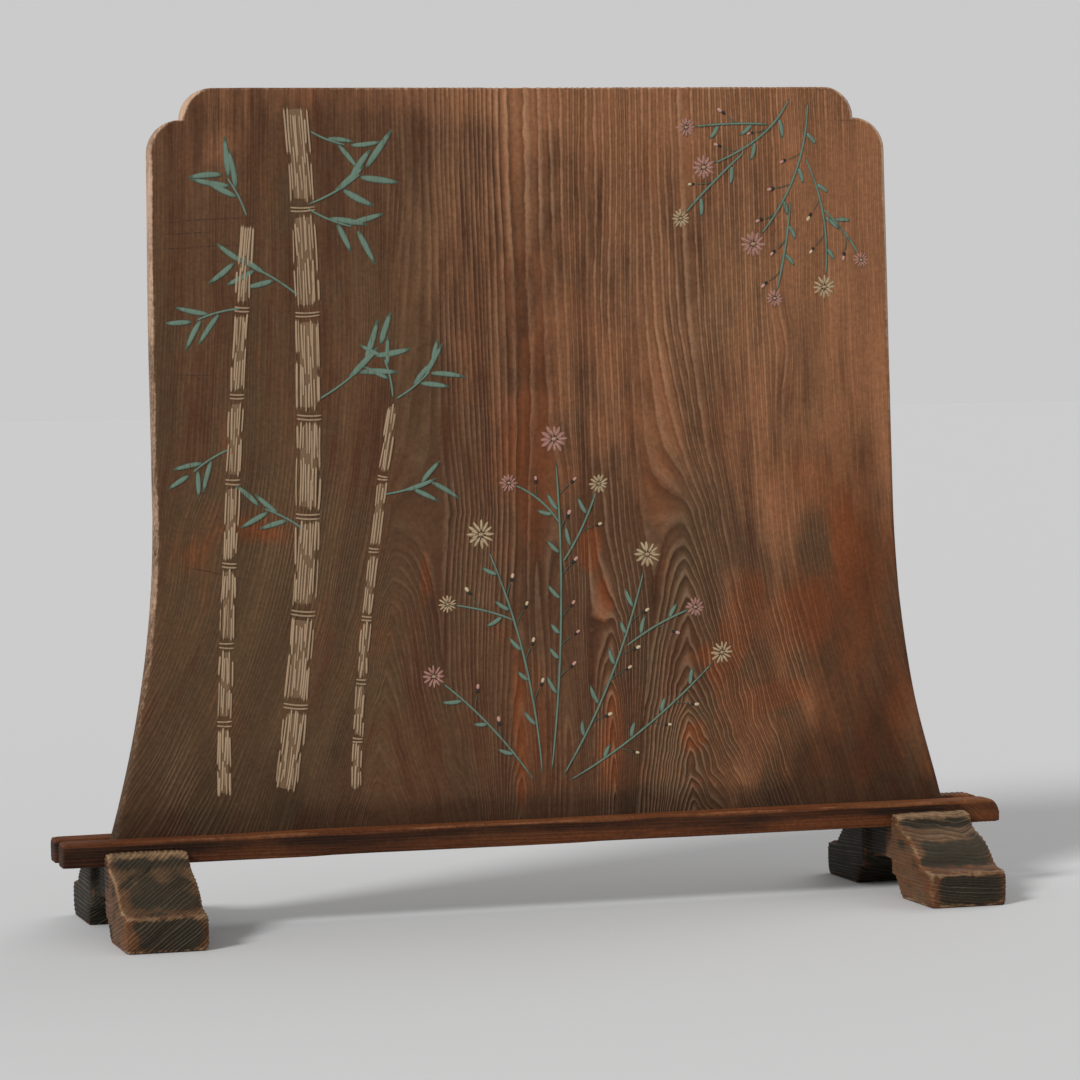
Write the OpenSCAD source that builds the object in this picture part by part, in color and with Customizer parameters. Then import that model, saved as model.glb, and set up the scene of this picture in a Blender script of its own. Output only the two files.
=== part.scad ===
// Freestanding one-panel screen of old cedar.
// A wide plank stands between two long rails, and plank and rails drop together into
// the open slots of two carved feet. Nothing is glued or pegged: each rail is cogged
// over the web of each foot, and the plank's shoulders keep the feet apart.
// X runs along the width, Y from front to back, Z up from the floor.

/* [Plank] */
// Height of the plank's top edge above the floor
plank_top = 1327; // [1000:1:1700]
// Thickness of the plank
plank_t = 34; // [24:1:50]
// Width of the plank along its bottom edge
bottom_w = 1408; // [1300:2:1800]
// Width of the plank between its straight sides
side_w = 1222; // [1000:2:1280]
// Height above the floor where the sides begin to flare
waist_z = 750; // [500:5:850]
// Radius of the lower round of a cusped corner
lower_r = 53; // [20:0.5:90]
// Radius of the upper round of a cusped corner
upper_r = 50; // [20:0.5:90]
// How far the plank's front and back arrises are worn away
plank_ease = 5; // [1:0.5:8]

/* [Rails] */
// Thickness of each rail, front to back
rail_t = 45; // [30:1:70]
// Height of each rail
rail_h = 39; // [30:1:60]
// Length of rail past the outer side of each foot
rail_overhang = 65.5; // [20:0.5:150]
// Rounding of the rails' long edges
rail_ease = 3; // [1:0.5:6]
// Rounding of the top corner at the rails' left end
left_end_r = 6; // [3:1:25]
// Rounding of the top corner at the rails' right end, the more worn one
right_end_r = 24; // [3:1:25]

/* [Feet] */
// Length of each foot, front to back
foot_len = 510; // [440:2:700]
// Width of each foot
foot_w = 128; // [90:1:180]
// Height of each foot
foot_h = 136.5; // [120:0.5:170]
// Depth of the slot that holds the rails and the plank
slot_depth = 24.5; // [15:0.5:35]
// How far the plank's end runs on past the inner side of the foot
plank_lap = 117.5; // [60:0.5:170]
// Flat top of a block, beside the slot
land_run = 31; // [15:1:60]
// Run of the short steep step below the flat top
collar_run = 13; // [5:1:25]
// Fall of the short steep step
collar_fall = 22; // [10:1:30]
// Run of the upper ledge
ledge_run = 50; // [20:1:80]
// Fall of the upper ledge
ledge_fall = 14; // [5:1:20]
// Run of the scarp between the ledges
scarp_run = 48; // [20:1:70]
// Fall of the scarp
scarp_fall = 37; // [20:1:40]
// Hollow of the scarp, square to its slope
scarp_hollow = 3; // [0.5:0.5:6]
// Height of the toe's front face
toe_h = 56; // [25:1:60]
// Length of the pad under each block
pad_len = 150; // [100:1:200]
// Height of the hollow under a block
hollow_h = 32; // [15:1:40]
// Run of the curved flank from the pad up into the hollow
flank_run = 22; // [8:1:30]
// Height of the web's underside where it meets the blocks
web_low = 49; // [41:1:60]
// Rise of the web's underside at its middle
web_rise = 7; // [2:1:12]
// Recess of the web behind the sides of the blocks
web_recess = 13; // [5:1:30]
// Rounding of the upright corners of the toes
toe_corner_r = 9; // [1:0.5:10]
// Bevel along the sides of the flat top
land_bevel = 3; // [1:0.5:6]

/* [Joints] */
// Depth of the cogs that hook rails and plank over the webs
cog = 8; // [3:0.5:14]
// Clearance on each face that meets inside the slots
slip = 0.25; // [0.1:0.05:1]
// Clearance beside each cog and shoulder
cog_gap = 0.5; // [0.2:0.1:2]

/* [Hidden] */
seat_z = foot_h - slot_depth;
web_top = seat_z + cog;
slot_w = plank_t + 2 * rail_t + 4 * slip;
web_w = foot_w - 2 * web_recess;
foot_x = bottom_w / 2 - plank_lap + foot_w / 2;
rail_len = 2 * (foot_x + foot_w / 2 + rail_overhang);
rail_y = plank_t / 2 + slip + rail_t / 2;
shoulder_x = foot_x - web_w / 2 - cog_gap;
cusp_x = side_w / 2 - lower_r;
cusp_z = plank_top - upper_r;
flare_run = (bottom_w - side_w) / 2;
flare_rise = waist_z - seat_z;
flare_r = round((flare_run * flare_run + flare_rise * flare_rise) / flare_run * 5) / 10;
over = 1;
cedar = [0.33, 0.21, 0.14];
rail_red = [0.36, 0.20, 0.12];
foot_brown = [0.30, 0.22, 0.16];
$fn = 96;

// Points of the arc from a to b that bulges to the left of that way by sag
function arc_pts(a, b, sag, n = 8) =
    let (
        chord = norm(b - a),
        r = (chord * chord / 4 + sag * sag) / (2 * abs(sag)),
        side = [a.y - b.y, b.x - a.x] / chord * sign(sag),
        mid = (a + b) / 2,
        c = mid - side * (r - abs(sag)),
        half = asin(chord / 2 / r),
        along = (b - a) / chord
    )
    [for (i = [0:n]) let (t = -half + 2 * half * i / n)
        c + side * r * cos(t) + along * r * sin(t)];

// Corner p between its neighbours a and b, rounded to radius r
function eased(a, p, b, r, n = 4) =
    let (
        u = (a - p) / norm(a - p),
        v = (b - p) / norm(b - p),
        half = acos(u * v) / 2,
        set = r / tan(half),
        bis = (u + v) / norm(u + v),
        c = p + bis * r / sin(half),
        from = p + u * set - c,
        to = p + v * set - c
    )
    [for (i = [0:n]) let (d = from + (to - from) * i / n) c + d / norm(d) * r];

// Rectangle whose two top corners are rounded, standing on y = 0
module arched_top(x0, x1, h, r0, r1) {
    difference() {
        translate([x0, 0]) square([x1 - x0, h]);
        translate([x0 - over, h - r0]) square([r0 + over, r0 + over]);
        translate([x1 - r1, h - r1]) square([r1 + over, r1 + over]);
    }
    translate([x0 + r0, h - r0]) circle(r0);
    translate([x1 - r1, h - r1]) circle(r1);
}

module rounded_rect(w, h, r) {
    square([w - 2 * r, h], center = true);
    square([w, h - 2 * r], center = true);
    for (x = [-1, 1], y = [-1, 1])
        translate([x * (w / 2 - r), y * (h / 2 - r)]) circle(r);
}

// What wear takes off a square corner whose point is at the origin, r along each face
module corner_waste(r) {
    difference() {
        translate([-1.4 * r, -1.4 * r]) square(1.4 * r + over);
        translate([-1.5 * r, -1.5 * r]) circle(r * sqrt(2.5));
    }
}

// Plank, drawn flat with its height along Y and its thickness along Z

module plank_outline() {
    translate([-side_w / 2, seat_z + cog]) square([side_w, cusp_z - lower_r - seat_z - cog]);
    // the two rounds of each corner, which meet in a cusp
    translate([-cusp_x, cusp_z - lower_r - over]) square([2 * cusp_x, lower_r + over]);
    translate([upper_r - cusp_x, cusp_z - over]) square([2 * (cusp_x - upper_r), upper_r + over]);
    for (s = [-1, 1]) {
        translate([s * cusp_x, cusp_z - lower_r]) circle(lower_r);
        intersection() {
            translate([s * (cusp_x - upper_r), cusp_z]) circle(upper_r);
            translate([-cusp_x, cusp_z - over]) square([2 * cusp_x, upper_r + 2 * over]);
        }
    }
    // flare down to the bottom edge, with the shoulders over the webs
    difference() {
        translate([-bottom_w / 2, seat_z]) square([bottom_w, flare_rise]);
        for (s = [-1, 1]) {
            translate([s * (side_w / 2 + flare_r), waist_z]) circle(flare_r, $fn = 720);
            translate([s * (shoulder_x + bottom_w / 2), seat_z])
                square([bottom_w, 2 * cog], center = true);
        }
    }
}

// Wear along the right half of one face, with that face at Z = 0
module face_waste() {
    flare_turn = asin(flare_rise / flare_r);
    translate([-over, plank_top, 0]) rotate([90, 0, 90])
        linear_extrude(cusp_x - upper_r + over) corner_waste(plank_ease);
    translate([cusp_x - upper_r, cusp_z, 0]) rotate_extrude(angle = 90)
        translate([upper_r, 0]) corner_waste(plank_ease);
    translate([cusp_x, cusp_z - lower_r, 0]) rotate_extrude(angle = 90)
        translate([lower_r, 0]) corner_waste(plank_ease);
    translate([side_w / 2, waist_z, 0]) rotate([-90, 0, 0]) mirror([0, 1, 0])
        linear_extrude(cusp_z - lower_r - waist_z) corner_waste(plank_ease);
    translate([side_w / 2 + flare_r, waist_z, 0]) rotate([0, 0, 180])
        rotate_extrude(angle = flare_turn + 1, $fn = 720)
            translate([flare_r, 0]) mirror([1, 0]) corner_waste(plank_ease);
}

module plank() {
    color(cedar) rotate([90, 0, 0]) difference() {
        linear_extrude(plank_t, center = true) plank_outline();
        for (x = [0, 1], z = [0, 1]) mirror([x, 0, 0]) mirror([0, 0, z])
            translate([0, 0, plank_t / 2]) face_waste();
    }
}

// Rails

module rail(y) {
    color(rail_red) difference() {
        intersection() {
            translate([0, y, seat_z + rail_h / 2]) rotate([90, 0, 90])
                linear_extrude(rail_len + 2 * over, center = true) rounded_rect(rail_t, rail_h, rail_ease);
            translate([0, y, seat_z]) rotate([90, 0, 0]) linear_extrude(rail_t + 2 * over, center = true)
                arched_top(-rail_len / 2, rail_len / 2, rail_h, left_end_r, right_end_r);
        }
        // cogs over the webs of the feet
        for (s = [-1, 1]) translate([s * foot_x, y, seat_z])
            cube([web_w + 2 * cog_gap, rail_t + 2 * over, 2 * cog], center = true);
    }
}

module front_rail() {
    rail(-rail_y);
}

module rear_rail() {
    rail(rail_y);
}

// Feet

// Side outline of the rear half of a foot, from the middle of the web's underside
// round the toe to the middle of the top
function half_foot() =
    let (
        slot_y = slot_w / 2,
        toe_y = foot_len / 2,
        pad_y = toe_y - pad_len,
        land = [slot_y + land_run, foot_h],
        collar = land + [collar_run, -collar_fall],
        brow = collar + [ledge_run, -ledge_fall],
        scarp = brow + [scarp_run, -scarp_fall],
        toe = [toe_y, toe_h]
    )
    concat(
        [for (i = [0:8]) let (t = i / 8) [slot_y * t, web_low + web_rise * cos(90 * t)]],
        [[slot_y, hollow_h]],
        eased([slot_y, hollow_h], [pad_y - flank_run, hollow_h], [pad_y, 0], flank_run / 3),
        [[pad_y, 0]],
        eased([pad_y, 0], [toe_y, 0], toe, 2),
        eased([toe_y, 0], toe, scarp, 8),
        arc_pts(scarp, brow, -scarp_hollow),
        eased(brow, collar, land, 8),
        eased(collar, land, [slot_y, foot_h], 6),
        [[0, foot_h]]
    );

module foot(s) {
    half = half_foot();
    count = len(half);
    color(foot_brown) translate([s * foot_x, 0, 0]) difference() {
        intersection() {
            rotate([90, 0, 90]) linear_extrude(foot_w, center = true)
                polygon(concat(half, [for (i = [count - 2:-1:1]) [-half[i].x, half[i].y]]));
            translate([0, 0, -over]) linear_extrude(foot_h + 2 * over)
                rounded_rect(foot_w, foot_len, toe_corner_r);
            rotate([90, 0, 0]) linear_extrude(foot_len + 2 * over, center = true) polygon([
                [-foot_w / 2, -over], [foot_w / 2, -over], [foot_w / 2, foot_h - land_bevel],
                [foot_w / 2 - land_bevel, foot_h], [land_bevel - foot_w / 2, foot_h],
                [-foot_w / 2, foot_h - land_bevel]
            ]);
        }
        // open slot for the rails and the plank
        translate([0, 0, web_top + foot_h / 2]) cube([foot_w + 2 * over, slot_w, foot_h], center = true);
        // web drawn in behind the blocks
        for (x = [-1, 1]) translate([x * (web_w / 2 + foot_w / 2), 0, foot_h / 2])
            cube([foot_w, slot_w, foot_h + 2 * over], center = true);
    }
}

module left_foot() {
    foot(-1);
}

module right_foot() {
    foot(1);
}

left_foot();
right_foot();
front_rail();
rear_rail();
plank();
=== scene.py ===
import math
import random
import bmesh
import bpy
import numpy as np
from mathutils import Matrix, Vector


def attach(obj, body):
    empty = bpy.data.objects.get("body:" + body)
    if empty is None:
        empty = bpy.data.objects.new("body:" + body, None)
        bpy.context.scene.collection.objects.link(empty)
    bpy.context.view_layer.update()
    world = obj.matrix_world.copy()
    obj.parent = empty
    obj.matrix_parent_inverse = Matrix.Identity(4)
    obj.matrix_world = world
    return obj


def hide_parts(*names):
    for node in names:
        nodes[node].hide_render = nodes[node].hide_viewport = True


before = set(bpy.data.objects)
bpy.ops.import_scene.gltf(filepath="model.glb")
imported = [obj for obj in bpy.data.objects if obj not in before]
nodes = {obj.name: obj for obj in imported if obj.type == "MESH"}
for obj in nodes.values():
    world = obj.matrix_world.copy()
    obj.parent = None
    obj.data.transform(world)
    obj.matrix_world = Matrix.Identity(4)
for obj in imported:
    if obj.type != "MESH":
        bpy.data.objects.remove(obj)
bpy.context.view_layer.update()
print("frame loaded")

# Camera, from where the screen was photographed
photoCamera = {
    "place": (-1.7703, -6.4892, 0.898),
    "yaw": 15.4009,
    "pitch": 2.5432,
    "roll": -1.1082,
    "lens": 139.09,
    "sensor": 36,
    "farthest": 200,
}


def placed(name, data):
    made = bpy.data.objects.new(name, data)
    bpy.context.scene.collection.objects.link(made)
    return made


def makeCamera(look):
    yaw, pitch, roll = (math.radians(look[k]) for k in ("yaw", "pitch", "roll"))
    level = math.cos(pitch)
    ahead = Vector((math.sin(yaw) * level, math.cos(yaw) * level, -math.sin(pitch)))
    across = Vector((math.cos(yaw), -math.sin(yaw), 0))
    rise = across.cross(ahead)
    right = across * math.cos(roll) + rise * math.sin(roll)
    up = rise * math.cos(roll) - across * math.sin(roll)
    lens = bpy.data.cameras.new("photoCamera")
    lens.lens = look["lens"]
    lens.sensor_width = look["sensor"]
    lens.clip_end = look["farthest"]
    camera = placed("photoCamera", lens)
    turn = Matrix((right, up, -ahead)).transposed().to_4x4()
    camera.matrix_world = Matrix.Translation(look["place"]) @ turn
    bpy.context.scene.camera = camera


makeCamera(photoCamera)
print("camera set")


# Points and noise

def pointsOf(mesh):
    co = np.empty(len(mesh.vertices) * 3, np.float32)
    mesh.vertices.foreach_get("co", co)
    return co.reshape(-1, 3).astype(float)


def normalsOf(mesh):
    mesh.update()
    out = np.empty(len(mesh.vertices) * 3, np.float32)
    mesh.vertex_normals.foreach_get("vector", out)
    return out.reshape(-1, 3).astype(float)


def setPoints(mesh, points):
    mesh.vertices.foreach_set("co", points.astype(np.float32).ravel())
    mesh.update()


def keepTones(mesh, **tones):
    # values at each point of the mesh, for its material to read by name
    for name, values in tones.items():
        spot = mesh.attributes.new(name, "FLOAT", "POINT")
        spot.data.foreach_set("value", values.astype(np.float32))


def softNoise(points, size, seed):
    # smooth noise from -1 to 1, with one blob about every size metres along each axis
    p = points / np.array(size)
    cell = np.floor(p).astype(np.int64)
    f = p - cell
    f = f * f * (3 - 2 * f)
    total = np.zeros(len(p))
    for corner in range(8):
        step = np.array([corner & 1, corner >> 1 & 1, corner >> 2 & 1])
        # a hash of the cell's corner, with large primes to stir its bits
        a, b, c = (cell + step).T
        h = (a * 73856093) ^ (b * 19349663) ^ (c * 83492791) ^ (seed * 2654435)
        h = (h ^ (h >> 13)) * 1274126177
        h = (h ^ (h >> 16)) & 0xFFFF
        total += np.prod(np.where(step, f, 1 - f), axis=1) * (h / 32767.5 - 1)
    return total


def ease(low, high, x):
    # a soft step from 0 at low to 1 at high
    t = np.clip((x - low) / (high - low), 0, 1)
    return t * t * (3 - 2 * t)


def blob(x, z, x0, z0, wide, high):
    return np.exp(-((x - x0) / wide) ** 2 - ((z - z0) / high) ** 2)


def patches(x, z, spots):
    # soft spots added up, each: across, up, half width, half height, strength
    return sum(much * blob(x, z, *spot) for *spot, much in spots)


# A brushed growth ring: a broad hollow of soft early wood, then a narrow hard ridge that
# rises and falls over these parts of the ring
ridgeRise = (0.36, 0.82)
ridgeFall = (0.87, 1.0)


def ridgeHeight(rings):
    u = rings - np.floor(rings)
    return np.where(u < ridgeRise[1], ease(*ridgeRise, u), 1 - ease(*ridgeFall, u))


def unevenRings(rings, seed):
    # wide years and narrow years, the same all along each ring
    line = np.stack([rings, np.zeros_like(rings), np.zeros_like(rings)], 1)
    near, far = softNoise(line, (2.3, 1, 1), seed), softNoise(line, (7.1, 1, 1), seed + 1)
    return rings + 0.5 * near + 0.8 * far


def neighbourMean(mesh, values):
    edges = np.empty(len(mesh.edges) * 2, np.int32)
    mesh.edges.foreach_get("vertices", edges)
    a, b = edges[0::2], edges[1::2]
    size = len(values)
    count = np.bincount(a, minlength=size) + np.bincount(b, minlength=size)
    flat = values.reshape(size, -1)
    out = np.empty_like(flat)
    for k in range(flat.shape[1]):
        total = np.bincount(a, flat[b, k], size) + np.bincount(b, flat[a, k], size)
        out[:, k] = total / count
    return out.reshape(values.shape)


def softened(mesh, rounds):
    # the mesh rubbed smooth, and its points
    p = pointsOf(mesh)
    for i in range(rounds):
        p = p * 0.4 + neighbourMean(mesh, p) * 0.6
    setPoints(mesh, p)
    return p


def worn(mesh, points, rounds, reach):
    # how far each point stands out from its neighbours: 1 on a sharp outer edge, 0 on a flat
    out = points.copy()
    for i in range(rounds):
        out = neighbourMean(mesh, out)
    stand = np.einsum("ij,ij->i", points - out, normalsOf(mesh))
    return np.clip(stand / reach, 0, 1)


def meshFrom(bm, name):
    mesh = bpy.data.meshes.new(name)
    bm.to_mesh(mesh)
    bm.free()
    return mesh


def makePiece(name, mesh, body, material):
    piece = placed(name, mesh)
    mesh.materials.clear()
    mesh.materials.append(material)
    mesh.polygons.foreach_set("use_smooth", np.ones(len(mesh.polygons), bool))
    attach(piece, body)
    return piece


# Materials

def addNode(tree, kind, inputs=None, **settings):
    made = tree.nodes.new(kind)
    for key, value in settings.items():
        setattr(made, key, value)
    for key, value in (inputs or {}).items():
        if isinstance(value, bpy.types.NodeSocket):
            tree.links.new(value, made.inputs[key])
        else:
            made.inputs[key].default_value = value
    return made


def calc(tree, operation, a, b=0.0, clamp=False):
    return addNode(tree, "ShaderNodeMath", {0: a, 1: b},
                   operation=operation, use_clamp=clamp).outputs[0]


def plus(tree, a, b):
    return calc(tree, "ADD", a, b)


def times(tree, value, *shares):
    for share in shares:
        value = calc(tree, "MULTIPLY", value, share)
    return value


def swing(tree, noisy, much):
    # a noise from 0 to 1 turned into one from -much / 2 to much / 2
    return times(tree, calc(tree, "SUBTRACT", noisy, 0.5), much)


def without(tree, value, share):
    return times(tree, value, calc(tree, "SUBTRACT", 1.0, share))


def tint(tree, factor, a, b, mode="MIX"):
    mix = addNode(tree, "ShaderNodeMix", {0: factor}, data_type="RGBA", blend_type=mode)
    for spot, value in ((6, a), (7, b)):
        if isinstance(value, bpy.types.NodeSocket):
            tree.links.new(value, mix.inputs[spot])
        else:
            mix.inputs[spot].default_value = (*value, 1)
    return mix.outputs[2]


def shaded(colour, share):
    return [channel * share for channel in colour]


def spread(tree, value, low, high, toLow=0.0, toHigh=1.0):
    return addNode(tree, "ShaderNodeMapRange", {0: value, 1: low, 2: high, 3: toLow, 4: toHigh},
                   interpolation_type="SMOOTHSTEP").outputs[0]


def noise(tree, vector, scale, detail=3.0, rough=0.55):
    return addNode(tree, "ShaderNodeTexNoise", {
        "Vector": vector, "Scale": scale, "Detail": detail, "Roughness": rough}).outputs[0]


def readTone(tree, name):
    return addNode(tree, "ShaderNodeAttribute", attribute_name=name).outputs["Fac"]


def emptyMaterial(name):
    material = bpy.data.materials.new(name)
    material.use_nodes = True
    material.node_tree.nodes.clear()
    return material, material.node_tree


def finishMaterial(tree, colour, rough, bump, shine):
    shader = addNode(tree, "ShaderNodeBsdfPrincipled", {
        "Base Color": colour, "Roughness": rough, "Normal": bump, "Specular IOR Level": shine})
    addNode(tree, "ShaderNodeOutputMaterial", {0: shader.outputs[0]})


def scratched(tree, colour, look, place, clouds, speckle):
    # fine broken lines, nearly level, on the front alone
    x, y, z = place
    for x0, x1, z0, climb in look.get("scratches", ()):
        lie = plus(tree, times(tree, x, climb), times(tree, clouds, 0.006))
        off = calc(tree, "SUBTRACT", calc(tree, "SUBTRACT", z, z0), lie)
        line = times(
            tree, spread(tree, calc(tree, "ABSOLUTE", off), 0.0002, 0.0016, 1.0, 0.0),
            spread(tree, speckle, 0.42, 0.55), spread(tree, x, x0, x0 + 0.03),
            spread(tree, x, x1 - 0.03, x1, 1.0, 0.0), spread(tree, y, -0.005, 0.0, 1.0, 0.0), 0.75)
        colour = tint(tree, line, colour, look["scratch"])
    return colour


def oldCedar(name, look):
    # brushed old cedar: the mesh of each piece keeps its rings, how boldly they stand, and
    # how far each tone shows: ember, honey with a painted sheen in places, ash, wear with a
    # painted highlight in places, and painted shade mixed with the wood's own darker patches
    material, tree = emptyMaterial(name)
    spot = addNode(tree, "ShaderNodeTexCoord").outputs["Object"]
    place = addNode(tree, "ShaderNodeSeparateXYZ", {0: spot}).outputs
    rings = readTone(tree, "rings")
    bold = readTone(tree, "bold")
    along = times(tree, place[look["grainAxis"]], look["streakRate"])
    side = times(tree, place[look["sideAxis"]], 6.0)

    def grainNoise(across, lengthwise, detail, rough):
        flow = addNode(tree, "ShaderNodeCombineXYZ", {
            0: times(tree, rings, across), 1: side, 2: times(tree, along, lengthwise)})
        return noise(tree, flow.outputs[0], 1.0, detail, rough)

    streaks = grainNoise(0.35, 0.9, 3.0, 0.6)
    fibre = grainNoise(5.0, 2.6, 4.0, 0.7)
    breaks = grainNoise(1.0, 5.0, 3.0, 0.6)
    bands = grainNoise(0.13, 0.35, 3.0, 0.55)
    clouds = noise(tree, spot, look["cloudScale"], 5.0, 0.6)
    speckle = noise(tree, spot, look["speckScale"], 3.0, 0.6)
    turn = calc(tree, "FRACT", plus(tree, rings, swing(tree, breaks, 0.45)))
    crest = times(tree, spread(tree, turn, *ridgeRise), spread(tree, turn, *ridgeFall, 1.0, 0.0))
    whole = plus(tree, breaks, times(tree, bold, 0.3))
    crest = times(tree, crest, spread(tree, whole, 0.4, 0.7))
    furrow = spread(tree, turn, 0.02, 0.34, 1.0, 0.0)

    def uneven(tone, cloudy, streaky):
        # a tone broken up by clouds and by streaks along the grain
        broken = plus(tree, swing(tree, clouds, cloudy), swing(tree, streaks, streaky))
        return plus(tree, readTone(tree, tone), broken)

    # colour, from the soft wood up
    colour = tint(tree, spread(tree, streaks, 0.3, 0.7), look["soft"], look["softLight"])
    ash = spread(tree, uneven("ash", 1.3, 1.0), 0.15, 0.95, 0.0, 0.85)
    colour = tint(tree, ash, colour, look["ash"])
    ember = plus(tree, uneven("ember", 0.7, 0.6), swing(tree, breaks, 0.6))
    colour = tint(tree, spread(tree, ember, 0.25, 0.95, 0.0, 0.85), colour, look["ember"])
    honey = spread(tree, uneven("honey", 0.45, 1.15), 0.12, 0.95, 0.0, 0.75)
    colour = tint(tree, honey, colour, look["honey"])
    # ridge crests drawn lighter: the ridges' own paler wood, with a painted highlight on them
    brighter = tint(tree, 1.0, colour, [1.75] * 3, "MULTIPLY")
    lit = tint(tree, 0.5, brighter, look["crest"])
    colour = tint(tree, times(tree, crest, bold, look["crestShow"]), colour, lit)

    # shade in the pores, in some bands and in the furrows, and painted shade, mixed with darker
    # patches of the wood, where each piece is given it
    pores = plus(tree, times(tree, fibre, 0.5), times(tree, speckle, 0.5))
    dim = spread(tree, pores, 0.3, 0.7, look["darkest"], 1.15)
    dim = times(tree, dim, spread(tree, bands, 0.3, 0.7, 0.86, 1.14))
    dim = without(tree, dim, calc(tree, "MULTIPLY", uneven("dusk", 0.3, 0.7), 0.45, clamp=True))
    dim = without(tree, dim, times(tree, furrow, bold, look["furrowShade"]))
    grey = addNode(tree, "ShaderNodeCombineXYZ", {0: dim, 1: dim, 2: dim}).outputs[0]
    colour = tint(tree, 1.0, colour, grey, "MULTIPLY")

    # worn wood, and the painted highlight on the plank's left side, are pale and keep the grain
    wear = plus(tree, readTone(tree, "wear"), swing(tree, fibre, 0.9))
    wear = plus(tree, wear, swing(tree, speckle, 0.7))
    bare = tint(tree, spread(tree, plus(tree, streaks, fibre), 0.8, 1.2),
                shaded(look["worn"], 0.84), shaded(look["worn"], 1.14))
    bare = tint(tree, times(tree, furrow, 0.45), bare, shaded(look["worn"], 0.7))
    colour = tint(tree, spread(tree, wear, 0.25, 0.9), colour, bare)
    colour = scratched(tree, colour, look, place, clouds, speckle)

    height = times(tree, crest, plus(tree, bold, 0.15), look["crestBump"])
    height = plus(tree, height, times(tree, fibre, look["fibreBump"]))
    height = plus(tree, height, times(tree, speckle, look["fibreBump"]))
    bump = addNode(tree, "ShaderNodeBump", {"Height": height, "Distance": 0.001}).outputs[0]
    polish = plus(tree, times(tree, crest, 0.5), times(tree, clouds, 0.5))
    rough = spread(tree, polish, 0.1, 0.9, look["roughSoft"], look["roughCrest"])
    finishMaterial(tree, colour, rough, bump, look["shine"])
    return material


# Plank

plankLook = {
    "top": 1.327, "bottom": 0.112, "halfThick": 0.017,
    "topHalf": 0.6108, "shoulderZ": 1.224, "waistHalf": 0.6175, "waistZ": 0.655,
    "bottomHalf": 0.704, "lowerRound": 0.053, "upperRound": 0.05,
    "arris": 0.008, "drift": 0.0022, "shoulderX": 0.599, "shoulderLift": 0.0082,
    "columns": 440, "lowRows": 62, "highRows": 19, "roundRows": 8, "edgeCuts": 8,
    "relief": 0.0012, "sway": 0.0005,
    # the sides swell a little: left or right, height, half height, how far
    "bulges": ((-1, 0.6, 0.17, 0.0016), (1, 0.19, 0.09, 0.0055)),
    # patches: across, up, half width, half height, strength; of the bold rings, of the
    # orange wood, and of the other tones
    "bold": (
        (0.28, 0.95, 0.18, 0.16, 0.22), (-0.2, 0.4, 0.08, 0.17, 0.3),
        (-0.36, 0.62, 0.1, 0.2, 0.18), (-0.56, 0.22, 0.09, 0.1, 0.2),
    ),
    "ember": (
        (-0.025, 0.28, 0.01, 0.11, 0.7), (0.132, 0.29, 0.014, 0.055, 0.7),
        (0.262, 0.265, 0.016, 0.02, 0.8), (0.29, 0.385, 0.03, 0.022, 0.9),
        (0.415, 0.34, 0.04, 0.016, 1.0), (0.365, 0.49, 0.024, 0.035, 0.9),
        (0.34, 0.43, 0.02, 0.03, 0.8), (0.091, 0.57, 0.012, 0.04, 0.8),
        (0.11, 0.49, 0.012, 0.03, 0.8), (0.53, 0.52, 0.06, 0.1, 0.25),
        (0.45, 0.47, 0.03, 0.04, 0.5), (0.535, 0.6, 0.03, 0.05, 0.35),
        (0.46, 0.7, 0.06, 0.05, 0.3), (-0.45, 0.63, 0.06, 0.025, 0.5),
        (0.0, 0.8, 0.04, 0.2, 0.3), (-0.18, 0.55, 0.012, 0.05, 0.4),
        (0.48, 0.45, 0.03, 0.05, 0.3),
    ),
    "honey": (
        (0.42, 0.62, 0.06, 0.11, 0.35), (0.46, 0.33, 0.06, 0.1, 0.34),
        (0.35, 0.2, 0.05, 0.04, 0.22), (0.53, 0.51, 0.05, 0.1, -0.3),
        (0.3, 0.5, 0.07, 0.06, 0.3), (-0.49, 1.235, 0.03, 0.04, 0.5),
        (0.655, 0.27, 0.025, 0.1, 0.45), (-0.14, 1.1, 0.09, 0.15, 0.24),
        (0.34, 0.61, 0.07, 0.1, 0.18), (0.3, 0.26, 0.1, 0.14, 0.12),
    ),
    "ash": (
        (-0.33, 0.33, 0.14, 0.2, 0.4), (0.33, 0.3, 0.13, 0.22, 0.6),
        (0.47, 0.52, 0.04, 0.16, 0.35), (0.45, 1.02, 0.1, 0.1, 0.35),
        (0.45, 0.31, 0.14, 0.17, 0.42),
    ),
    "dusk": (
        (0.59, 0.22, 0.035, 0.14, 0.9), (0.47, 0.25, 0.035, 0.06, 0.6),
        (0.53, 0.51, 0.05, 0.11, 0.45), (0.48, 0.21, 0.055, 0.06, 0.7),
        (0.36, 0.3, 0.08, 0.12, -0.3), (0.0, 0.75, 0.03, 0.22, 0.45),
        (-0.17, 0.45, 0.025, 0.14, 0.4), (-0.3, 0.31, 0.02, 0.03, 0.5),
        (-0.33, 0.27, 0.03, 0.015, 0.35), (-0.14, 1.1, 0.1, 0.15, -0.22),
        (0.34, 0.58, 0.06, 0.1, -0.18), (0.28, 0.37, 0.08, 0.09, -0.16),
    ),
}

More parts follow.
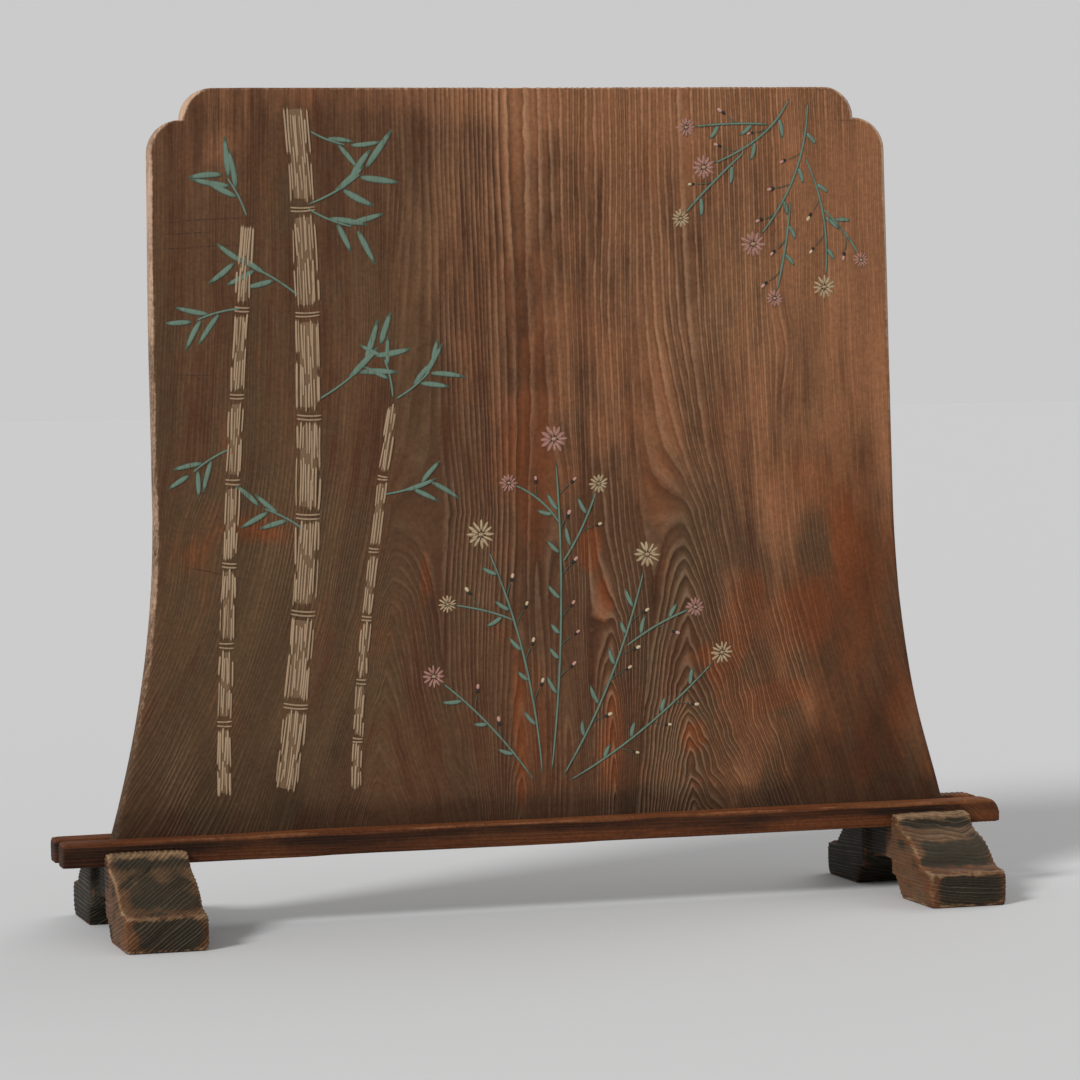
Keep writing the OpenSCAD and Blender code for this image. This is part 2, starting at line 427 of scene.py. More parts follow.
# The run of the grain: each guide is a line up the plank, given at these heights from the
# top down, with its place across the plank and the growth ring that it lies on
grainHeights = (1.4, 1.15, 0.95, 0.75, 0.6, 0.48, 0.38, 0.28, 0.18, 0.08)
grainGuides = (
    ((-0.68, -0.685, -0.69, -0.71, -0.76, -0.84, -0.95, -1.08, -1.24, -1.42),
     (0, 0, 0, 0, -2, -4, -7, -10, -14, -18)),
    ((-0.42, -0.425, -0.43, -0.44, -0.465, -0.5, -0.545, -0.6, -0.665, -0.74),
     (42,) * 10),
    ((-0.26, -0.26, -0.26, -0.262, -0.268, -0.272, -0.3, -0.335, -0.36, -0.38),
     (68, 68, 68, 70, 74, 79, 80, 81, 82, 83)),
    ((-0.2, -0.2, -0.205, -0.21, -0.22, -0.226, -0.238, -0.25, -0.26, -0.265),
     (77, 77, 78, 80, 83, 91, 94, 97.5, 103, 108)),
    ((-0.15, -0.15, -0.15, -0.15, -0.15, -0.15, -0.145, -0.125, -0.1, -0.09),
     (82, 82, 82, 82, 82, 82.5, 83, 83, 84, 85)),
    ((-0.01, -0.01, -0.01, -0.01, -0.015, -0.02, -0.022, -0.025, -0.026, -0.026),
     (96, 96, 96, 96, 96, 96.3, 97, 98.2, 100.5, 103)),
    ((0.01,) * 10,
     (95.3, 95.3, 95.3, 95, 94.5, 94, 94, 94, 94.5, 95)),
    ((0.035, 0.035, 0.036, 0.038, 0.04, 0.044, 0.05, 0.055, 0.058, 0.06),
     (94, 94, 94, 94.5, 95.6, 97, 98, 98.6, 99.2, 100)),
    ((0.085, 0.085, 0.085, 0.086, 0.088, 0.09, 0.092, 0.095, 0.097, 0.098),
     (90.5, 90.5, 90.5, 90.3, 90, 90, 90, 90.5, 91, 91)),
    ((0.13, 0.13, 0.13, 0.13, 0.13, 0.13, 0.13, 0.132, 0.133, 0.133),
     (86.5, 86.5, 86.5, 86.7, 87.5, 89.5, 92.5, 95.5, 97, 98.5)),
    ((0.165, 0.165, 0.165, 0.18, 0.195, 0.198, 0.19, 0.178, 0.168, 0.16),
     (83, 83, 83, 82, 82, 82.5, 83, 83.5, 84, 84)),
    ((0.225, 0.225, 0.23, 0.24, 0.25, 0.255, 0.254, 0.255, 0.26, 0.265),
     (78, 78, 78, 79.5, 83, 86.5, 90, 94, 98.5, 103)),
    ((0.33, 0.335, 0.34, 0.35, 0.37, 0.405, 0.445, 0.49, 0.53, 0.57),
     (68, 68, 68, 68, 67, 65, 63, 61, 60, 59)),
    ((0.68, 0.68, 0.685, 0.69, 0.7, 0.72, 0.745, 0.775, 0.81, 0.85),
     (22, 22, 22, 22, 22, 23, 24, 25, 26, 27)),
)
# where the rings bow aside, as patches
grainBows = ((0.43, 0.905, 0.024, 0.06, 1.6), (-0.54, 0.62, 0.045, 0.06, 2.6))


def alongGuide(z, values):
    # softly bent line through the values given at grainHeights
    steps = np.linspace(grainHeights[-1], grainHeights[0], 400)
    line = np.interp(steps, grainHeights[::-1], values[::-1])
    pad = np.pad(line, 20, mode="reflect", reflect_type="odd")
    kernel = np.hanning(41) / np.hanning(41).sum()
    return np.interp(z, steps, np.convolve(pad, kernel, mode="valid"))


def plankRings(x, z):
    spots = np.stack([x, np.zeros_like(x), z], 1)
    x = x + 0.004 * softNoise(spots, (0.07, 1, 0.3), 3)
    x = x + 0.0014 * softNoise(spots, (0.022, 1, 0.1), 4)
    ragged = ease(0.66, 0.4, z) * ease(-0.42, -0.25, x) * ease(0.5, 0.34, x)
    wander = 0.016 * softNoise(spots, (0.036, 1, 0.042), 5)
    wander += 0.007 * softNoise(spots, (0.013, 1, 0.018), 7)
    z = z + ragged * wander
    places = np.stack([alongGuide(z, g[0]) for g in grainGuides], 1)
    values = np.stack([alongGuide(z, g[1]) for g in grainGuides], 1)
    run = np.diff(places, axis=1)
    slope = np.diff(values, axis=1) / run
    before, after = slope[:, :-1], slope[:, 1:]
    same = after * before > 0
    both = np.where(same, after + before, 1)
    even = np.where(same, 2 * after * before / both, 0)
    a, b = np.abs(before), np.abs(after)
    point = 0.5 * np.sqrt(np.minimum(a, b) / np.maximum(np.maximum(a, b), 1e-6))
    # pointed where an arch or a valley turns, else smooth
    leave, reach = slope.copy(), slope.copy()
    leave[:, 1:] = np.where(same, even, point * after)
    reach[:, :-1] = np.where(same, even, point * before)
    k = np.clip((x[:, None] > places).sum(1) - 1, 0, len(grainGuides) - 2)
    row = np.arange(len(x))
    w = run[row, k]
    t = (x - places[row, k]) / w
    ring = ((1 + 2 * t) * (1 - t) ** 2 * values[row, k] + t * (1 - t) ** 2 * w * leave[row, k]
            + t * t * (3 - 2 * t) * values[row, k + 1] + t * t * (t - 1) * w * reach[row, k])
    ring += patches(x, z, grainBows)
    return unevenRings(ring + 0.3 * softNoise(spots, (0.05, 1, 0.25), 6), 14)


def plankRows(look):
    # each row of the face, bottom to top: half width, height, the way in from the rim, and
    # the half width that its inner columns are spread over
    foot, waist, shoulder = look["bottomHalf"], look["waistHalf"], look["topHalf"]
    lowZ, waistZ = look["bottom"], look["waistZ"]
    lower, upper, turns = look["lowerRound"], look["upperRound"], look["roundRows"]
    lean = math.atan2(waist - shoulder, look["shoulderZ"] - waistZ)
    dx, dz = foot - waist, waistZ - lowZ
    bend = (dx * dx + dz * dz) / 2 / (dx * math.cos(lean) - dz * math.sin(lean))
    cx, cz = waist + bend * math.cos(lean), waistZ + bend * math.sin(lean)
    cuspX, cuspZ = shoulder - lower, look["top"] - upper
    roundZ = cuspZ - lower
    rows = []
    for z in np.linspace(lowZ, waistZ, look["lowRows"], endpoint=False):
        half = cx - math.sqrt(bend ** 2 - (cz - z) ** 2)
        rows.append((half, z, -1, 1 if z == lowZ else 0, half))
    for z in np.linspace(waistZ, roundZ, look["highRows"], endpoint=False):
        half = waist + (shoulder - waist) * (z - waistZ) / (roundZ - waistZ)
        rows.append((half, z, -1, 0, half))
    for i in range(turns):
        a = math.pi / 2 * i / turns
        rows.append((cuspX + lower * math.cos(a), roundZ + lower * math.sin(a),
                     -math.cos(a), -math.sin(a), shoulder))
    rows.append((cuspX, cuspZ, -1, -1, shoulder))
    for i in range(1, turns + 1):
        a = math.pi / 2 * i / turns
        rows.append((cuspX - upper * (1 - math.cos(a)), cuspZ + upper * math.sin(a),
                     -math.cos(a), -math.sin(a), shoulder))
    return np.array(rows)


def plankMesh(look):
    rows = plankRows(look)
    bm = bmesh.new()
    bmesh.ops.create_grid(bm, x_segments=look["columns"], y_segments=len(rows) - 1, size=1)
    grown = bmesh.ops.extrude_face_region(bm, geom=bm.faces[:])
    back = [g for g in grown["geom"] if isinstance(g, bmesh.types.BMVert)]
    bmesh.ops.translate(bm, verts=back, vec=(0, 0, -2))
    rim = [e for e in bm.edges if abs(e.verts[0].co.z - e.verts[1].co.z) > 1]
    bmesh.ops.subdivide_edges(bm, edges=rim, cuts=look["edgeCuts"], use_grid_fill=True)
    bmesh.ops.recalc_face_normals(bm, faces=bm.faces[:])
    mesh = meshFrom(bm, "plankWood")
    # the flat grid is laid on the plank's outline
    p = pointsOf(mesh)
    u, v, w = p[:, 0], p[:, 1], -p[:, 2] / 2
    row = np.rint((v + 1) / 2 * (len(rows) - 1)).astype(int)
    half, height, inX, inZ, broad = rows[row].T
    y = -look["halfThick"] * np.cos(math.pi * w)
    arris = look["arris"]
    shy = np.clip((np.abs(y) - look["halfThick"] + arris) / arris, 0, 1)
    rub = 1 + 0.3 * softNoise(np.stack([u * half, y * 0, height], 1), (0.07, 1, 0.07), 11)
    inset = arris * rub * (1 - np.sqrt(np.clip(1 - shy ** 2, 0, 1)))
    # closer columns right of the middle, where the grain is bold
    u = u + 0.055 * (1 - u * u) * (1.6 - 2.4 * u)
    # the columns are even out to calm, 0.6 of the way, and close up towards the end
    end, calm = half + inX * inset, 0.6 * broad
    t = np.abs(u)
    s = np.clip(t / 0.4 - 1.5, 0, 1)
    first = 0.4 * broad / (end - calm)
    closing = calm + (end - calm) * (first * s + (1 - first) * s * s)
    x = np.sign(u) * np.where(t < 0.6, broad * t, closing)
    z = height + 0.5 * inZ * inset  # rubbed rounder down the sides than along the top
    held = 0.9 * ease(0.75, 1.0, z) * ease(0.1, -0.5, u)
    x += look["drift"] * ease(0.16, 0.45, z) * (1 - held)
    for hand, z0, high, much in look["bulges"]:
        x += much * np.exp(-((z - z0) / high) ** 2) * (u * hand > 0) * u * u
    lifted = (np.abs(x) > look["shoulderX"]) * ease(0.14, look["bottom"], z)
    z += look["shoulderLift"] * lifted
    setPoints(mesh, np.stack([x, y, z], 1))
    return mesh


def plankBold(x, z, spots, look):
    # how boldly the rings stand: most at the arches low at the right
    broken = 0.6 * softNoise(spots, (0.045, 1, 0.13), 25)
    broken += 0.4 * softNoise(spots, (0.018, 1, 0.05), 28)
    arches = ease(0.66, 0.42, z) * ease(0.08, 0.17, x) * ease(0.52, 0.38, x)
    bold = 0.17 + 0.42 * ease(-0.28, -0.05, x) * ease(0.54, 0.36, x) + 0.4 * arches
    # bolder along the top and upper middle, where the ridge crests also show a painted highlight
    bold += 0.25 * ease(1.22, 1.3, z) * ease(-0.05, 0.1, x)
    bold += 0.3 * ease(0.85, 1.15, z) * ease(-0.15, 0.1, x)
    bold += patches(x, z, look["bold"])
    calm = ease(0.56, 0.46, z) * ease(-0.3, -0.22, x) * ease(0.12, 0.05, x)
    bold *= (1 - 0.38 * calm) * (1 + 0.75 * broken)
    bold *= 1 - 0.7 * blob(x, z, -0.4, 0.34, 0.07, 0.12)
    return np.clip(bold * (1 - 0.5 * blob(x, z, -0.15, 0.22, 0.03, 0.12)), 0.06, 1)


def plankWearAndHighlight(z, n, spots, foot):
    # edges and side faces drawn pale, more so upwards: rubbed wear, and on the left-facing side
    # also a painted highlight of the light from that side
    turned = ease(0.05, 0.3, np.hypot(n[:, 0], n[:, 2]))
    left, right = ease(0.08, 0.4, -n[:, 0]), ease(0.08, 0.4, n[:, 0])
    wear = turned * (0.4 + 0.8 * right * ease(0.65, 1.15, z))
    wear *= 0.12 + 0.88 * ease(0.25, 1.15, z)
    leftPaleAndHighlight = 0.28 + 0.31 * ease(0.28, 0.5, z) + 0.13 * ease(0.6, 0.8, z)
    leftPaleAndHighlight += 0.23 * ease(0.9, 1.12, z)
    wear += left * (leftPaleAndHighlight - wear)
    # less pale in the band of painted shadow just above the rails
    wear *= (0.9 + 0.3 * softNoise(spots, (0.05, 1, 0.06), 26)) * (1 - 0.3 * foot)
    return np.minimum(wear, 0.86)


def dressPlank(mesh, look):
    p = pointsOf(mesh)
    x, y, z = p.T
    deep = x + 0.5 * y * np.tanh((x - 0.05) / 0.3)
    rings = plankRings(deep, z - 0.25 * y)
    step = 0.002
    steepX = np.abs(plankRings(deep + step, z) - plankRings(deep - step, z)) / 2 / step
    steepZ = np.abs(plankRings(deep, z + step) - plankRings(deep, z - step)) / 2 / step
    fine = np.maximum(steepX * 0.0026, steepZ * 0.009)  # rings in one cell of the mesh
    spots = np.stack([x, y * 4, z], 1)
    bold = plankBold(x, z, spots, look)
    depth = look["relief"] * (0.1 + 0.9 * bold) * ease(0.45, 0.22, fine)
    depth *= 1 - ridgeHeight(rings)
    depth += look["sway"] * (1 + softNoise(spots, (0.05, 1, 0.3), 8)) * 0.5
    # flat where the rails press, and nearly so beside the cusps
    depth *= ease(0.15, 0.165, z)
    depth *= 1 - 0.7 * np.exp(-((z - 1.273) / 0.006) ** 2) * ease(0.45, 0.5, np.abs(x))
    n = normalsOf(mesh)
    setPoints(mesh, p - n * depth[:, None])

    patch = 0.6 * softNoise(spots, (0.07, 1, 0.15), 21)
    patch += 0.4 * softNoise(spots, (0.028, 1, 0.065), 22)
    # foot: a band of painted shadow just above the rails, which dims every tone there
    foot = ease(0.205, 0.155, z)
    upper = ease(0.55, 0.78, z) * ease(-0.06, 0.08, x)
    middle = ease(-0.2, 0.0, x)
    ember = 0.2 + 0.34 * patch + 0.12 * ease(-0.15, 0.1, x) + 0.12 * ease(0.3, 0.6, x)
    ember += 0.12 * ease(0.55, 0.3, z) * middle - 0.5 * foot
    ember += 0.2 * ease(1.08, 1.22, z) * ease(0.0, 0.25, x)
    ember += 0.12 * ease(0.5, 0.8, z) * middle * ease(0.3, 0.1, x)
    ember += 1.5 * patches(x + 0.02 * patch, z + 0.03 * patch, look["ember"])
    honey = (0.4 - 0.22 * upper) * patch * ease(0.0, 0.4, x)
    # lighter along the top and over the upper right: a painted sheen of the light, laid into the
    # honey tone
    honey += 0.25 * ease(-0.35, -0.6, x) * patch + 0.42 * ease(1.24, 1.32, z)
    honey += 0.45 * ease(1.18, 1.31, z) * ease(-0.25, 0.1, x)
    honey += 0.56 * ease(-0.32, 0.2, x) * ease(0.48, 0.85, z)
    honey += 0.62 * ease(0.36, 0.55, x) * ease(0.72, 1.15, z)
    honey += 0.5 * ease(0.57, 0.615, x) * ease(0.5, 0.8, z)
    honey += patches(x, z, look["honey"])
    ash = 0.3 + 0.42 * softNoise(spots, (0.09, 1, 0.2), 23) - 0.5 * foot
    ash += 0.28 * ease(-0.1, -0.45, x) * ease(1.2, 0.95, z)
    ash += 0.32 * ease(-0.34, -0.48, x) * ease(0.72, 0.52, z)
    ash -= 0.3 * ease(1.15, 1.3, z)
    ash -= 0.3 * ease(-0.16, -0.05, x) * ease(0.22, 0.12, x)
    ash += patches(x, z, look["ash"])
    # painted shade: darker low down at both sides and near the bottom, on top of the painted
    # shadow over the rails; the noise adds darker patches of the wood
    sides = ease(0.38, 0.5, x) + ease(-0.25, -0.45, x)
    dusk = foot + 0.35 * ease(0.4, 0.2, z) * sides + 0.45 * ease(0.3, 0.16, z)
    dusk += (0.34 - 0.26 * upper) * softNoise(spots, (0.045, 1, 0.12), 27) - 0.08
    dusk = np.clip(dusk + patches(x, z, look["dusk"]), 0, 1)
    keepTones(mesh, rings=rings, bold=bold, ember=ember, honey=honey, ash=ash,
              wear=plankWearAndHighlight(z, n, spots, foot), dusk=dusk)


plankWood = oldCedar("plankWood", {
    "grainAxis": 2, "sideAxis": 1, "streakRate": 5.0, "cloudScale": 13.0, "speckScale": 160.0,
    "soft": (0.08, 0.031, 0.014), "softLight": (0.118, 0.057, 0.028),
    "ember": (0.172, 0.047, 0.014), "honey": (0.31, 0.132, 0.06),
    "ash": (0.094, 0.053, 0.025), "worn": (0.48, 0.315, 0.215), "crest": (0.222, 0.147, 0.089),
    "crestShow": 0.9, "furrowShade": 0.4, "darkest": 0.74, "crestBump": 1.25, "fibreBump": 0.16,
    "roughSoft": 0.75, "roughCrest": 0.5, "shine": 0.13,
    # fine dark scratches: from and to across, height, climb to the right
    "scratch": (0.03, 0.018, 0.012),
    "scratches": (
        (-0.6, -0.43, 1.14, 0.045), (-0.605, -0.5, 1.107, 0.02),
        (-0.605, -0.42, 1.09, 0.03), (-0.59, -0.505, 0.868, -0.01),
        (-0.575, -0.45, 0.43, -0.25),
    ),
})
mesh = plankMesh(plankLook)
dressPlank(mesh, plankLook)
plank = makePiece("plank_board", mesh, "plank", plankWood)
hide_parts("plank")
print("plank made", len(mesh.polygons))


# Rails and feet, remeshed finely from the frame and then rubbed and brushed

def finerCopy(node, name, voxel):
    bm = bmesh.new()
    bm.from_mesh(nodes[node].data)
    bmesh.ops.remove_doubles(bm, verts=bm.verts[:], dist=0.00002)
    holder = placed(name, meshFrom(bm, name))
    fine = holder.modifiers.new("fine", "REMESH")
    fine.mode = "VOXEL"
    fine.voxel_size = voxel
    graph = bpy.context.evaluated_depsgraph_get()
    made = bpy.data.meshes.new_from_object(holder.evaluated_get(graph))
    bpy.data.objects.remove(holder)
    return made


railLook = {
    "voxel": 0.0023, "soften": 4, "relief": 0.0009, "sway": 0.0008, "swell": 0.001,
    "ringGap": 0.0062, "wander": 0.0035, "roundEnd": 0.685,
}


def railRings(p, look, seed):
    x, y, z = p.T
    y = y + look["wander"] * softNoise(p, (0.35, 0.04, 0.04), seed + 1)
    z = z + look["wander"] * softNoise(p, (0.35, 0.04, 0.04), seed + 2)
    tilt = 0.5 if seed % 2 else -0.35
    stack = z + tilt * y + 0.012 * x + 0.7 * np.maximum(0, x - look["roundEnd"])
    rings = stack / look["ringGap"] + 0.7 * softNoise(p, (0.5, 0.03, 0.02), seed + 3)
    return unevenRings(rings, seed + 9)


def dressRail(mesh, look, seed):
    p = softened(mesh, look["soften"])
    x, z = p[:, 0], p[:, 2]
    out = worn(mesh, p, 4, 0.0006)
    rings = railRings(p, look, seed)
    n = normalsOf(mesh)
    flank = ease(0.9, 0.6, np.abs(n[:, 0]))
    depth = look["relief"] * (0.4 + 0.6 * flank) * (1 - ridgeHeight(rings))
    depth -= look["swell"] * ease(0.3, 0.9, n[:, 2])
    dents = 0.5 + 0.5 * softNoise(p, (0.13, 0.05, 0.05), seed + 5)
    depth += look["sway"] * dents * (0.4 + out)
    setPoints(mesh, p - n * depth[:, None])

    leftEnd, rightEnd = ease(-0.45, -0.7, x), ease(0.64, 0.73, x)
    # up the front: a lighter foot, a band of painted shadow under the brow, and a bright brow
    h = z + 0.0022 * softNoise(p, (0.1, 0.03, 0.03), seed + 13)
    low = ease(0.133, 0.125, h)
    under = ease(0.131, 0.137, h) * ease(0.1475, 0.144, h)
    brow = ease(0.1445, 0.1475, h)
    bold = 0.7 + 0.4 * softNoise(p, (0.2, 0.03, 0.03), seed + 4) - 0.3 * leftEnd
    ember = 0.5 + 0.35 * softNoise(p, (0.16, 0.03, 0.03), seed + 6) + 0.25 * out
    ember += 0.65 * brow + 0.3 * low - 0.25 * leftEnd
    honey = 0.45 * softNoise(p, (0.09, 0.03, 0.03), seed + 11) + 0.28 * brow
    honey += 0.45 * rightEnd - 0.3 * leftEnd
    ash = 0.15 + 0.25 * softNoise(p, (0.2, 0.04, 0.04), seed + 7)
    ash += 0.2 * ease(0.5, 0.95, n[:, 2])
    wear = out * (0.43 + 0.4 * softNoise(p, (0.04, 0.03, 0.03), seed + 8))
    wear *= (0.3 + 0.7 * brow) * (1 - 0.7 * leftEnd)
    # painted shadow in the band under the brow, the brow and the right end lighter, darker low and
    # on the brow towards the left; the noise gives the wood's darker patches
    dusk = 0.36 + 0.4 * softNoise(p, (0.09, 0.03, 0.02), seed + 12)
    dusk += 0.6 * under - 0.7 * brow - 0.2 * low + 0.1 * leftEnd - 0.3 * rightEnd
    dusk += (low * 0.45 + brow * 0.48) * ease(0.2, -0.35, x)
    keepTones(mesh, rings=rings, bold=np.clip(bold, 0.1, 1), ember=ember, honey=honey, ash=ash,
              wear=wear, dusk=np.clip(dusk, 0, 1))


railWood = oldCedar("railWood", {
    "grainAxis": 0, "sideAxis": 1, "streakRate": 4.0, "cloudScale": 16.0, "speckScale": 160.0,
    "soft": (0.024, 0.009, 0.004), "softLight": (0.06, 0.022, 0.009),
    "ember": (0.14, 0.04, 0.012), "honey": (0.19, 0.07, 0.024),
    "ash": (0.05, 0.028, 0.014), "worn": (0.22, 0.088, 0.036), "crest": (0.11, 0.045, 0.018),
    "crestShow": 0.85, "furrowShade": 0.35, "darkest": 0.6, "crestBump": 1.0, "fibreBump": 0.35,
    "roughSoft": 0.75, "roughCrest": 0.5, "shine": 0.16,
})
for node, seed in (("front_rail", 31), ("rear_rail", 44)):
    mesh = finerCopy(node, node + "Wood", railLook["voxel"])
    dressRail(mesh, railLook, seed)
    rail = makePiece(node + "_bar", mesh, node, railWood)
    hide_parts(node)
    print(node, "made", len(mesh.polygons))

# The two feet differ in the lie of their rings, in how they widen upwards, and in how much
# their levels show of some tones
footLook = {
    "voxel": 0.002, "soften": 26, "relief": 0.0016, "sway": 0.0015,
    "left": {
        "middle": -0.6505, "seed": 60, "ringGap": 0.0051, "wide": 1.035, "widen": 0,
        "wander": ((0.002, (0.045, 0.22, 0.05)), (0.001, (0.016, 0.1, 0.02))),
        "brinkTop": (0.0665, 0.0595), "toeBold": 0, "scarpBold": 0, "toeShade": 0.1,
        "landEmber": 0.1, "ledgeEmber": 0.3, "brinkEmber": 0.5, "sideEmber": 0.18,
    },
    "right": {
        "middle": 0.6505, "seed": 80, "ringGap": 0.006, "wide": 1.03, "widen": 0.1,
        "wander": ((0.0042, (0.032, 0.22, 0.05)), (0.0016, (0.012, 0.1, 0.02))),
        "brinkTop": (0.066, 0.058), "toeBold": 0.35, "scarpBold": -0.5, "toeShade": 0.3,
        "landEmber": 0.4, "ledgeEmber": 0.45, "brinkEmber": 0.85, "sideEmber": 0.34,
    },
}


def footRings(p, left, own):
    q = p - np.array([own["middle"], 0, 0])
    x, y, z = q.T
    seed = own["seed"]
    wander = 0
    for k, (much, size) in enumerate(own["wander"]):
        wander = wander + much * softNoise(q, size, seed + k)
    if left:
        stack = z * 0.78 - x * 0.62 + 0.2 * np.minimum(0, y + 0.12)
    else:
        stack = z * 0.99 + x * 0.1 - x ** 2 * 1.1 + 0.03 * y
    return unevenRings((stack + wander) / own["ringGap"], seed + 9)


def dressFoot(mesh, look, left):
    own = look["left" if left else "right"]
    seed, middle = own["seed"] + 30, own["middle"]
    p = softened(mesh, look["soften"])
    p[:, 0] = middle + (p[:, 0] - middle) * (own["wide"] + own["widen"] * p[:, 2])
    setPoints(mesh, p)
    out = worn(mesh, p, 16, 0.0013)
    rings = footRings(p, left, own)
    n = normalsOf(mesh)
    x, y, z = p[:, 0] - middle, p[:, 1], p[:, 2]
    endGrain = ease(0.3, 0.8, np.abs(n[:, 1]))
    depth = look["relief"] * (0.5 + 0.5 * endGrain + 0.4 * out) * (1 - ridgeHeight(rings))
    dents = 0.5 + 0.5 * softNoise(p, (0.035, 0.035, 0.035), seed)
    depth += look["sway"] * dents * (0.3 + out)
    # the slot's walls and the soles stay flat
    depth *= ease(0.0628, 0.0645, np.abs(y)) * ease(0.0, 0.004, z)
    setPoints(mesh, p - n * depth[:, None])

    spots = softNoise(p, (0.022, 0.03, 0.022), seed + 1)
    rough = softNoise(p, (0.009, 0.018, 0.007), seed + 5)
    h = z + 0.003 * spots + 0.0022 * rough
    # front: 1 on the front half; the back half is given painted shade: darker, with less ember,
    # honey and wear
    front = ease(0.03, -0.03, y)
    side = ease(0.7, 0.95, np.abs(n[:, 0]))
    facing = 1 - side
    # light worn levels down the front: flat top, upper ledge and the brink over the toe
    land = facing * ease(0.1215, 0.1295, h)
    ledge = facing * ease(0.094, 0.103, h) * ease(0.119, 0.11, h)
    brink = facing * ease(0.0485, 0.0545, h) * ease(*own["brinkTop"], h)
    levels = land + ledge + brink
    toe = facing * ease(0.052, 0.047, h) * front
    scarp = facing * ease(0.058, 0.064, h) * ease(0.104, 0.096, h) * front
    rim = ease(0.034, 0.067, np.abs(x) + 0.007 * spots + 0.004 * rough)
    rim *= np.where(x < 0, 1.0, 0.55)
    bold = 0.75 + 0.45 * softNoise(p, (0.03, 0.05, 0.03), seed + 4) - 0.3 * side
    bold += own["toeBold"] * toe + own["scarpBold"] * scarp
    ember = 0.05 + 0.35 * spots + 0.45 * out - 0.35 * (1 - front) + own["landEmber"] * land
    ember += own["ledgeEmber"] * ledge + own["brinkEmber"] * brink
    ember += (own["sideEmber"] + 0.5 * spots) * side * front
    ember += (0.4 + 0.9 * blob(z, y, 0.02, -0.245, 0.024, 0.03)) * rim * front
    ember += 0.5 * out * rim * ease(0.1, 0.04, z)
    honey = 0.08 + 0.25 * rim * facing + 0.65 * land + 0.4 * ledge + 0.3 * brink
    honey += 0.34 * side * front + 0.4 * spots * front - 0.5 * (1 - front)
    ash = 0.5 + 0.3 * softNoise(p, (0.05, 0.05, 0.05), seed + 2) + 0.3 * endGrain
    ash -= 0.4 * side * front + 0.4 * out + 0.4 * levels
    wear = out * (0.25 + 0.4 * ease(-0.45, 0.35, rough + 0.6 * spots))
    wear += 0.5 * land + 0.24 * ledge + 0.26 * brink + 0.08 * side
    wear *= 0.2 + 0.8 * front
    # painted shade: the back half and the toe under the brink darker, the worn levels and edges
    # lighter; end grain and noise add the wood's own darker patches
    dusk = 0.9 * (1 - front) + 0.3 * endGrain + 0.3 * spots - 0.5 * levels
    dusk += own["toeShade"] * toe - 0.3 * out - 0.3 * rim * front
    keepTones(mesh, rings=rings, bold=np.clip(bold, 0.1, 1), ember=ember, honey=honey, ash=ash,
              wear=wear, dusk=np.clip(dusk, 0, 1))


footWood = oldCedar("footWood", {
    "grainAxis": 1, "sideAxis": 0, "streakRate": 5.0, "cloudScale": 22.0, "speckScale": 170.0,
    "soft": (0.02, 0.015, 0.008), "softLight": (0.044, 0.031, 0.018),
    "ember": (0.15, 0.052, 0.017), "honey": (0.122, 0.072, 0.036),
    "ash": (0.037, 0.03, 0.018), "worn": (0.245, 0.148, 0.078), "crest": (0.124, 0.09, 0.054),
    "crestShow": 1.0, "furrowShade": 0.45, "darkest": 0.62, "crestBump": 1.2, "fibreBump": 0.35,
    "roughSoft": 0.8, "roughCrest": 0.55, "shine": 0.2,
})
for node, left in (("left_foot", True), ("right_foot", False)):
    mesh = finerCopy(node, node + "Wood", footLook["voxel"])
    dressFoot(mesh, footLook, left)
    foot = makePiece(node + "_block", mesh, "feet", footWood)
    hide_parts(node)
    print(node, "made", len(mesh.polygons))


# Design on the front, in low painted relief: bamboo canes, their leaves and daisies

